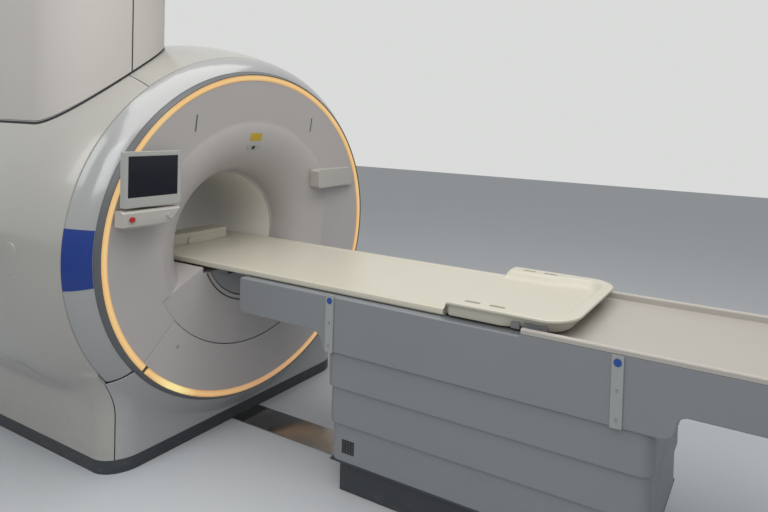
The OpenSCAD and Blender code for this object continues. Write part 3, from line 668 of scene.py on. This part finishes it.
def flare(z):
    """How far the base stands out at a height."""
    rise = min(max(z - FLARE_START, 0.0), FLARE_TOP - FLARE_START)
    return FLARE_ARC - math.sqrt(FLARE_ARC ** 2 - rise ** 2) - FLARE_FALL * max(z - FLARE_TOP, 0.0)


def base_reach(y, z):
    """Half the width of the base at a depth and a height."""
    off = max(CORNER_FRONT - y, y - CORNER_BACK, 0.0)
    return CORNER_X + math.sqrt(max((CORNER + flare(z)) ** 2 - off ** 2, 0.0))


def ray_length(inside):
    """How far out a ray stays inside, found by halving."""
    low, high = 0.3, 1.6
    for _ in range(26):
        middle = (low + high) / 2
        if inside(middle):
            low = middle
        else:
            high = middle
    return low


def cover_point(angle, y):
    """A point on the covers' outside, the round part running softly into the base."""
    across, up = math.cos(angle), math.sin(angle)
    reach = cover_reach(y)
    if up < -0.1:
        base = ray_length(lambda far: far * across < base_reach(y, RING_HEIGHT + far * up))
        reach = soft_max(reach, base, CREASE_BLEND)
    return Vector((reach * across, y, RING_HEIGHT + reach * up))


def side_cover(side):
    """A side cover, whose first row is a lip that meets the band above the base seam."""
    gap, rows = 0.003, 90

    def place(u, v):
        y = lerp(COVER_FRONT, COVER_BACK, max(v * rows - 1, 0.0) / (rows - 1))
        top = math.acos((COVER_SEAM + gap) / cover_reach(y))
        low = math.atan2(PLINTH - RING_HEIGHT, base_reach(y, PLINTH))
        angle = lerp(low, top, u)
        point = cover_point(angle, y)
        if v < 0.5 / rows and angle > -math.radians(SEAM_ANGLE):
            lip = BAND_OUT + 0.0015
            point = Vector((lip * math.cos(angle), y, RING_HEIGHT + lip * math.sin(angle)))
        return Vector((side * point.x, point.y, point.z))

    return sheet(place, 120, rows)


def top_cover():
    def place(u, v):
        y = lerp(COVER_FRONT, COVER_BACK, v)
        edge = math.acos((COVER_SEAM - 0.0005) / cover_reach(y))
        return cover_point(lerp(edge, math.pi - edge, u), y)

    return sheet(place, 64, 90)


magnet = body_of("front_cover")
for side, word in ((-1, "left"), (1, "right")):
    new_piece(f"side_cover_{word}_skin", side_cover(side), side_gloss, magnet,
              [f"side_cover_{word}"], MAGNET_MIDDLE, COVER_WALL, COVER_EDGE)
new_piece("top_cover_skin", top_cover(), side_gloss, magnet, ["top_cover"],
          MAGNET_MIDDLE, COVER_WALL, COVER_EDGE)


def front_face(x, z):
    """Depth of the base front, the band's curve running softly into the flat foot."""
    out = math.hypot(x, z - RING_HEIGHT)
    if out < BAND_OUT:
        band = BAND_Y - math.sqrt(BAND_ARC ** 2 - (out - BAND_X) ** 2)
    else:
        band = BAND_DEPTH + BAND_SLOPE * (out - BAND_OUT)
    side = max(abs(x) - CORNER_X, 0.0)
    base = CORNER_FRONT - math.sqrt(max((CORNER + flare(z)) ** 2 - side ** 2, 0.0))
    return -soft_max(-band, -base, FOOT_BLEND)


def base_front():
    """The base front, from the rim down to the plinth and out to the side covers."""
    low_share = 0.35

    def side_reach(z):
        return CORNER_X + math.sqrt(max((CORNER + flare(z)) ** 2 - (CORNER_FRONT - BAND_DEPTH) ** 2, 0.0))

    foot = math.degrees(math.atan2(PLINTH - RING_HEIGHT, side_reach(PLINTH)))

    def place(u, v):
        part = abs(u - 0.5)
        if part > low_share:
            angle = lerp(foot, -SEAM_ANGLE, (part - low_share) / (0.5 - low_share))
        else:
            angle = lerp(-90.0, foot, part / low_share)
        across, up = math.cos(math.radians(angle)), math.sin(math.radians(angle))

        def inside(out):
            z = RING_HEIGHT + out * up
            return z > PLINTH and out * across < side_reach(z)

        far = ray_length(inside)
        out = lerp(RIM_OUT + 0.0005, far, v)
        x, z = out * across, RING_HEIGHT + out * up
        return Vector((math.copysign(x, u - 0.5), front_face(x, z), z))

    return sheet(place, 160, 36)


new_piece("base_front_skin", base_front(), base_satin, magnet, ["base_front_cover"],
          BASE_INSIDE, COVER_WALL, COVER_EDGE)


def turned(profile, start, stop, steps, height=RING_HEIGHT):
    """A sheet turned about the axis at a height: (radius, depth) points between two angles."""
    loops = []
    for step in range(steps + 1):
        angle = math.radians(lerp(start, stop, step / steps))
        loops.append([Vector((r * math.cos(angle), y, height + r * math.sin(angle))) for r, y in profile])
    return skin(loops, closed=False)


dish_slope = [(DISH_OUT + 0.001, DISH_DEPTH), (0.66, 0.0275), (0.74, 0.0140), (DISH_RIM, 0.0004)]
new_piece("lower_dish_panel", turned(dish_slope, SEAM_ANGLE - 180, -SEAM_ANGLE, 90), cover_satin, magnet,
          (), BASE_INSIDE, COVER_WALL, COVER_EDGE)


def dish_depth_at(x, z):
    """Depth of the dished front at a place, straight between the slope's points."""
    out = math.hypot(x, z - RING_HEIGHT)
    for (r0, y0), (r1, y1) in zip(dish_slope, dish_slope[1:]):
        if out <= r1:
            return lerp(y0, y1, (out - r0) / (r1 - r0))
    return dish_slope[-1][1]


def reach_to(angle, radius):
    """Distance from the bore's axis to a circle about the ring's axis, along an angle."""
    shift = RING_HEIGHT - BORE_HEIGHT
    return shift * math.sin(angle) + math.sqrt(radius ** 2 - (shift * math.cos(angle)) ** 2)


def arc_depth(out, reach):
    """Depth of a funnel arc that starts at a reach and stands upright at the mouth."""
    rise = reach - MOUTH_OUT
    run = MOUTH_DEPTH - DISH_DEPTH
    arc = (rise ** 2 + run ** 2) / (2 * rise)
    inside = min(out - MOUTH_OUT, rise)
    return MOUTH_DEPTH - math.sqrt(max(arc ** 2 - (inside - arc) ** 2, 0.0))


def front_depth(x, z):
    """Depth of the front at a place: the dish, and inside its crease the funnel's full curve."""
    if math.hypot(x, z - RING_HEIGHT) >= DISH_OUT:
        return dish_depth_at(x, z)
    out = math.hypot(x, z - BORE_HEIGHT)
    full = arc_depth(out, reach_to(math.atan2(z - BORE_HEIGHT, x), DISH_OUT))
    return lerp(arc_depth(out, FUNNEL_OUT), full, ease(z, BORE_HEIGHT, BORE_HEIGHT + 0.2))


def funnel_front():
    """The front above the bore's middle: rim of the dish, crease, funnel and its lip at the mouth."""
    rows, crease = 72, 50

    def place(u, v):
        angle = math.pi * u
        row = round(v * rows)
        inner = reach_to(angle, DISH_OUT)
        if row == 0:
            out = MOUTH_OUT - 0.012
        elif row <= crease:
            out = lerp(MOUTH_OUT, inner, ((row - 1) / (crease - 1)) ** 1.5)
        else:
            out = lerp(inner, reach_to(angle, DISH_RIM), (row - crease) / (rows - crease))
        x, z = out * math.cos(angle), BORE_HEIGHT + out * math.sin(angle)
        depth = front_depth(x, z) if row else MOUTH_DEPTH + 0.0015
        return Vector((x, depth, z))

    return sheet(place, 150, rows)


def cad_copy(node):
    """A copy of a node's mesh with its loose triangles joined."""
    shell = bmesh.new()
    shell.from_mesh(nodes[node].data)
    bmesh.ops.remove_doubles(shell, verts=shell.verts, dist=0.00002)
    return shell


def on_front(half_top, half_low, low, high, proud):
    """A small plate laid on the front, its sides slanting."""
    def place(u, v):
        x = lerp(-1, 1, u) * lerp(half_low, half_top, v)
        z = lerp(low, high, v)
        return Vector((x, front_depth(x, z) - proud, z))

    return sheet(place, 8, 8)


upper_half = ((1.1, BORE_HEIGHT), (1.1, 2.0), (-1.1, 2.0), (-1.1, BORE_HEIGHT))
above = skin([[Vector((x, y, z)) for x, z in upper_half] for y in (-0.1, 0.6)], filled=True)
new_piece("front_funnel", funnel_front(), cover_satin, magnet, ["front_cover"],
          BORE_INSIDE, 0.006)
new_piece("front_lower", cut(cad_copy("front_cover"), above), cover_satin, magnet,
          edge=0.0025)
new_piece("warning_plate", on_front(0.038, 0.038, 1.508, 1.550, 0.0012), label_yellow, magnet,
          ["label_plate"], BORE_INSIDE, 0.003)
new_piece("laser_plate", on_front(0.052, 0.036, 1.454, 1.486, 0.0012), frame_grey, magnet,
          ["laser_window"], BORE_INSIDE, 0.003)
new_piece("laser_lens", on_front(0.011, 0.008, 1.461, 1.479, 0.0022), trim_black, magnet,
          (), BORE_INSIDE, 0.002)


def box_foot():
    """Carries the right control box down onto the funnel."""
    corners = ((0.438, 1.218), (0.722, 1.222), (0.716, 1.328), (0.430, 1.328))
    outline = rounded_path([(x, z, 0.012) for x, z in corners])
    front = [Vector((x, 0.005, z)) for x, z in outline]
    back = [Vector((x, front_depth(x, z) + 0.002, z)) for x, z in outline]
    return skin([front, back], filled=True)


new_piece("right_box_foot", box_foot(), panel_grey, magnet)


def oval_ring(centre_x, centre_z, half, reach, profile):
    """A ring laid on the dished front: (distance in from the oval's edge, how far proud) points."""
    plan = round_rectangle(half, reach, -reach, half * 0.998, 8)
    loops = []
    for inset, proud in profile:
        scale = max(half - inset, 0.0) / half
        loop = []
        for a, b in plan:
            end = math.copysign(min(abs(b), reach - half), b)
            x, z = centre_x + a * scale, centre_z + end + (b - end) * scale
            loop.append(Vector((x, dish_depth_at(x, z) - proud, z)))
        loops.append(loop)
    return skin(loops)


slit_rim = [(0.0, -0.001), (0.0, 0.0016), (0.0008, 0.0022), (0.0026, 0.0022), (0.0032, 0.0012),
            (0.0034, 0.0004)]
slit_groove = [(0.0, 0.0012), (0.0010, 0.0007), (0.0025, 0.0005), (0.00305, 0.0005)]
lock_face = [(0.0, -0.001), (0.0, 0.0010), (0.0008, 0.0016), (0.0030, 0.0016), (0.0036, 0.0008),
             (0.0060, 0.0008), (0.0088, 0.0012)]
for side, word in ((-1, "left"), (1, "right")):
    behind = (side * SLIT_X, 0.5, SLIT_Z)
    rim = oval_ring(side * SLIT_X, SLIT_Z, 0.0062, 0.045, slit_rim)
    new_piece(f"slit_frame_{word}", rim, panel_grey, magnet, (), behind)
    groove = oval_ring(side * SLIT_X, SLIT_Z, 0.0031, 0.042, slit_groove)
    new_piece(f"slit_groove_{word}", groove, trim_black, magnet,
              ["slit_trims"] if side < 0 else (), behind)

lock = oval_ring(LOCK_X, LOCK_Z, 0.0090, 0.0091, lock_face)
new_piece("cover_lock_face", lock, bridge_grey, magnet, ["cover_lock"], (LOCK_X, 0.5, LOCK_Z))


def access_cap(side):
    """The oval cover in the side, standing just proud of it with a turned edge."""
    def place(u, v):
        across, up = math.cos(2 * math.pi * u), math.sin(2 * math.pi * u)
        straight = math.copysign(0.037, up) * min(1, 9 * abs(up))
        y = CAP_Y + CAP_HALF * across * v
        z = CAP_Z + (CAP_HALF * up + straight) * v
        reach = cover_reach(y) + 0.0018 - 0.0045 * max(v - 0.92, 0) / 0.08
        return Vector((side * math.sqrt(reach ** 2 - (z - RING_HEIGHT) ** 2), y, z))

    return sheet(place, 64, 24)


for side, word in ((-1, "left"), (1, "right")):
    new_piece(f"access_cap_{word}_plate", access_cap(side), side_gloss, magnet,
              [f"access_cap_{word}"], (0, CAP_Y, CAP_Z))


# Black strips painted in as shade in the gaps round the tower's foot and between its panels

def on_turn(radius, inset, angle):
    """A point on a round corner of the tower's front, moved inwards."""
    angle = math.radians(angle)
    return (TOWER_TURN_X + (radius - inset) * math.cos(angle),
            TOWER_FRONT + radius + (radius - inset) * math.sin(angle))


def tower_outline(share, inset):
    """A point on the tower's outline, from the back left round the front to the back right."""
    left, right = TOWER_TURN_X - TOWER_LEFT, TOWER_RIGHT_TURN
    part = share * 4
    if part < 1:
        return TOWER_LEFT + inset, lerp(TOWER_BACK, TOWER_FRONT + left, part)
    if part < 2:
        return on_turn(left, inset, 180 + 90 * (part - 1))
    edge = math.degrees(math.asin((TOWER_RIGHT - TOWER_TURN_X) / right))
    if part < 3:
        return on_turn(right, inset, 270 + edge * (part - 2))
    start = TOWER_FRONT + right - right * math.cos(math.radians(edge))
    return TOWER_RIGHT - inset, lerp(start, TOWER_BACK, part - 3)


def tower_foot_shade_strip():
    def place(u, v):
        x, y = tower_outline(u, -0.0012)
        height = RING_HEIGHT + math.sqrt(cover_reach(y) ** 2 - x ** 2)
        return Vector((x, y, height + lerp(-0.003, 0.011, v)))

    return sheet(place, 160, 3)


def tower_seam_shade_strip():
    def place(u, v):
        x = TOWER_SEAM + lerp(-0.003, 0.003, u)
        return Vector((x, TOWER_FRONT + 0.0005, lerp(RING_HEIGHT + 0.79, 2.585, v)))

    return sheet(place, 2, 40)


# Both strips are black sheets that paint the shade in the gap under the tower and in the seam between its
# panels.
new_piece("tower_foot_shade_strip", tower_foot_shade_strip(), black_seal_and_shade, magnet, (), (-0.5, 0.8, 1.9), 0.003)
new_piece("tower_seam_shade_strip", tower_seam_shade_strip(), black_seal_and_shade, magnet, (), (-0.5, 0.8, 1.9), 0.003)


# Seals round the docking collar, whose black arcs also paint the shade in the collar's gap

def round_seal(name, height, reach, depth, start, stop, thick, finish=black_seal_and_shade):
    """A round seal laid along an arc about the axis at a height; in black it also paints the shade of the
    gap it lies in.
    """
    loops = []
    for step in range(97):
        angle = math.radians(lerp(start, stop, step / 96))
        loop = []
        for turn in range(10):
            round_it = math.radians(36 * turn)
            out = reach + thick * math.cos(round_it)
            y = depth + thick * math.sin(round_it)
            loop.append(Vector((out * math.cos(angle), y, height + out * math.sin(angle))))
        loops.append(loop)
    new_piece(name, skin(loops, filled=True), finish, magnet)


lip = [(0.3515, 0.2995), (0.3525, 0.2985), (0.366, 0.2985)]
new_piece("mouth_lip", turned(lip, -50, 230, 140, BORE_HEIGHT), cover_satin, magnet,
          (), (0, 1.0, BORE_HEIGHT))
round_seal("mouth_seal", BORE_HEIGHT, 0.3518, 0.2992, -50, 230, 0.0012, seal_brown)
# Black arcs at the collar's joint, darkened as painted shade of its gap.
round_seal("collar_seal_shade_outer", BORE_HEIGHT, NOTCH_OUT - 0.002, DISH_DEPTH + 0.004, -157, -23, 0.0028)
round_seal("collar_seal_shade_inner", BORE_HEIGHT, NOTCH_OUT - 0.026, DISH_DEPTH + 0.011, -155, -25, 0.0028)


# Tabletop and tray

def tabletop_half(y):
    """Half the tabletop's width, its head rounded off."""
    off = max(y - (TOP_REACH - TOP_TURN), 0.0)
    return TOP_HALF - TOP_TURN + math.sqrt(max(TOP_TURN ** 2 - off ** 2, 0.0))


def tabletop_loop(y, half, dip):
    """A closed section of the tabletop: turned rim, a groove, and a shallow bed."""
    edge = [(0.012, TOP_LOW), (0.004, TOP_LOW + 0.002), (0.0, TOP_LOW + 0.008), (0.0, TOP_HEIGHT - 0.008),
            (0.002, TOP_HEIGHT - 0.0025), (0.007, TOP_HEIGHT), (0.0175, TOP_HEIGHT),
            (0.0192, TOP_HEIGHT - 0.002), (0.0212, TOP_HEIGHT - 0.002), (0.0225, TOP_HEIGHT - 0.0004),
            (0.026, TOP_HEIGHT - 0.001 * dip), (0.032, TOP_HEIGHT - 0.0036 * dip),
            (0.038, TOP_HEIGHT - 0.004 * dip)]
    right = [Vector((half - d, y, z)) for d, z in edge]
    left = [Vector((d - half, y, z)) for d, z in reversed(edge)]
    return right + left


def tabletop():
    rows = [END_START - 0.003 + (TOP_REACH - TOP_TURN - END_START) * step / 40 for step in range(40)]
    rows += [TOP_REACH - TOP_TURN + TOP_TURN * math.sin(math.pi / 2 * step / 16) for step in range(17)]
    loops = [tabletop_loop(y, tabletop_half(y), 1 - ease(y, 0.60, 0.66)) for y in rows]
    tongue = [tabletop_loop(END_STOP + 0.060, 0.190, 0.0), tabletop_loop(END_START - 0.003, 0.190, 0.0)]
    return skin(tongue + loops, filled=True)


slide = body_of("tabletop")
new_piece("tabletop_skin", tabletop(), top_cream, slide, ["tabletop"])


def tray_path(inset, rows=26, turns=10):
    """Plan of the tray's outline moved inwards: up one side, round the far end, back down the other."""
    straight = END_STOP + END_TURN
    side = []
    for step in range(rows + 1):
        y = lerp(END_START - 0.002, straight, (step / rows) ** 1.6)
        swell = ease(-y, -END_START + 0.002, -END_START + 0.034)
        side.append((lerp(TOP_HALF, END_HALF, swell) - inset, y))
    for step in range(1, turns + 1):
        angle = math.radians(90 * step / turns)
        side.append((END_HALF - END_TURN + (END_TURN - inset) * math.cos(angle),
                     straight - (END_TURN - inset) * math.sin(angle)))
    for step in range(1, 6):
        side.append(((END_HALF - END_TURN) * (1 - step / 5), END_STOP + inset))
    return side + [(-x, y) for x, y in reversed(side[:-1])]


def tray():
    """The raised tray at the tabletop's end: bowl underneath, turned rim, wide flange and hollow bed."""
    under, rim, bed = TOP_LOW + 0.006, END_HEIGHT, TOP_HEIGHT + 0.001
    section = [(0.150, 0.150, under), (0.034, 0.075, under), (0.027, 0.055, under + 0.003),
               (0.024, 0.038, under + 0.014), (0.022, 0.024, rim - 0.026), (0.017, 0.017, rim - 0.0135),
               (0.004, 0.004, rim - 0.013), (0.001, 0.001, rim - 0.011), (0.0, 0.0, rim - 0.007),
               (0.001, 0.001, rim - 0.003), (0.004, 0.004, rim - 0.0008), (0.009, 0.009, rim),
               (0.066, 0.040, rim), (0.073, 0.046, rim - 0.0015), (0.079, 0.052, rim - 0.006),
               (0.086, 0.058, rim - 0.014), (0.094, 0.068, rim - 0.026), (0.105, 0.082, rim - 0.036),
               (0.124, 0.110, bed + 0.0002), (0.150, 0.150, bed)]
    loops = []
    for row, (near, bowl, z) in enumerate(section):
        near_path = tray_path(min(near, END_TURN))
        bowl_path = tray_path(min(bowl, END_TURN))
        loop = []
        for (x0, y0), (x1, y1) in zip(near_path, bowl_path):
            far = ease(-y0, 1.60, 1.70)
            x, y = lerp(x0, x1, far), lerp(y0, y1, far)
            rise = ease(-y0, -END_START + 0.002, -END_START + 0.034)
            drop = 0.001 + (END_HEIGHT - TOP_HEIGHT - 0.001) * ease(z, TOP_HEIGHT + 0.001, END_HEIGHT)
            height = z - (1 - rise) * drop if z > TOP_HEIGHT else z
            if row in (0, len(section) - 1):
                x = 0.0
            loop.append(Vector((x, y, height)))
        loops.append(loop)
    return skin(loops, closed=False, filled=True)


def hand_slots():
    """Four upright ovals that cut the hand slots through the tray's flange."""
    whole = None
    for x in (-1, 1):
        for y in HAND_SLOTS:
            loops = []
            for z in (END_HEIGHT - 0.018, END_HEIGHT + 0.02):
                plan = round_rectangle(0.009, 0.034, -0.034, 0.0089)
                loops.append([Vector((x * (END_HALF - 0.046) + a, y + b, z)) for a, b in plan])
            part = bpy.data.meshes.new("blank")
            oval = skin(loops, filled=True)
            oval.to_mesh(part)
            oval.free()
            whole = whole or bmesh.new()
            whole.from_mesh(part)
            bpy.data.meshes.remove(part)
    return whole


new_piece("tray_skin", cut(tray(), hand_slots()), top_cream, slide, ["tabletop_end"],
          edge=0.0012)


# Table body and skirts

def inset_path(points, inset):
    """A closed path moved to its inner side, the path running anticlockwise."""
    moved = []
    for index, point in enumerate(points):
        along = (points[(index + 1) % len(points)] - points[index - 1]).normalized()
        moved.append(point + Vector((-along.y, along.x)) * inset)
    return moved


def upper_body():
    """The table's body: a rounded nose, a foot that the skirts hide in, and a raised tail."""
    outline = rounded_path([
        (NOSE_END, BODY_TOP, 0.010), (DECK_START + 0.010, BODY_TOP, 0.016),
        (DECK_START - 0.012, TAIL_TOP, 0.016), (TAIL_END, TAIL_TOP, 0.008), (TAIL_END, TAIL_LOW, 0.025),
        (-2.262, TAIL_LOW, 0.035), (-2.250, FOOT_TOP, 0.045), (PEDESTAL_HEAD, FOOT_TOP, 0.012),
        (PEDESTAL_HEAD, NOSE_LOW, 0.060), (NOSE_END, NOSE_LOW, 0.030)])
    rows = []
    for side in (-1, 1):
        for step in range(5):
            angle = math.radians(22.5 * (step if side < 0 else 4 - step))
            inset = BODY_ROUND * (1 - math.sin(angle))
            x = side * (BODY_HALF - BODY_ROUND * (1 - math.cos(angle)))
            rows.append([Vector((x, point.x, point.y)) for point in inset_path(outline, inset)])
    return skin(rows, filled=True)


def block(x, y0, y1, z0, z1):
    """A closed upright block with slightly rounded corners, used to cut pockets."""
    plan = round_rectangle(x, y1, y0, 0.004, 3)
    return skin([[Vector((a, b, z)) for a, b in plan] for z in (z0, z1)], filled=True)


track_pocket = (0.166, DECK_START + 0.003, -0.100, 0.812, 1.0)
deck_pocket = (BODY_HALF - 0.006, -2.9, DECK_START, 0.867, 1.0)
body_shell = upper_body()
for pocket in (track_pocket, deck_pocket):
    body_shell = cut(body_shell, block(*pocket))
new_piece("upper_body_skin", body_shell, body_paint, body_of("upper_body"), ["upper_body"],
          edge=0.001)


def skirt(node, step):
    """A telescoping skirt with round upright corners and a turned lower edge."""
    low, high = (corner.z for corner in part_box(node))
    inset = 0.012 + (step - 1) * 0.010
    turn = 0.052 - (step - 1) * 0.004
    tall = high - low
    edge = ((0.006, 0.0), (0.002, 0.001), (0.0005, 0.003), (0.0, 0.007), (0.0, tall - 0.002), (0.001, tall))
    loops = []
    for back_off, rise in edge:
        plan = round_rectangle(BODY_HALF - inset - back_off, PEDESTAL_HEAD - inset - 0.001 - back_off,
                               PEDESTAL_TAIL + inset + 0.001 + back_off, turn - back_off)
        loops.append([Vector((x, y, low + rise)) for x, y in plan])
    new_piece(f"{node}_skin", skin(loops), body_paint, body_of(node), [node],
              (0, -1.5, 0.4), 0.004)


for number in (1, 2, 3):
    skirt(f"skirt_{number}", number)


# Floor

def lay_floor():
    shell = bmesh.new()
    bmesh.ops.create_grid(shell, x_segments=1, y_segments=1, size=14.0)
    mesh = bpy.data.meshes.new("studio_floor")
    shell.to_mesh(mesh)
    shell.free()
    floor = bpy.data.objects.new("studio_floor", mesh)
    bpy.context.scene.collection.objects.link(floor)
    mesh.materials.append(Finish("pale floor", (0.50, 0.52, 0.54), 0.6).mottle(0.8, 0.01).material)


lay_floor()
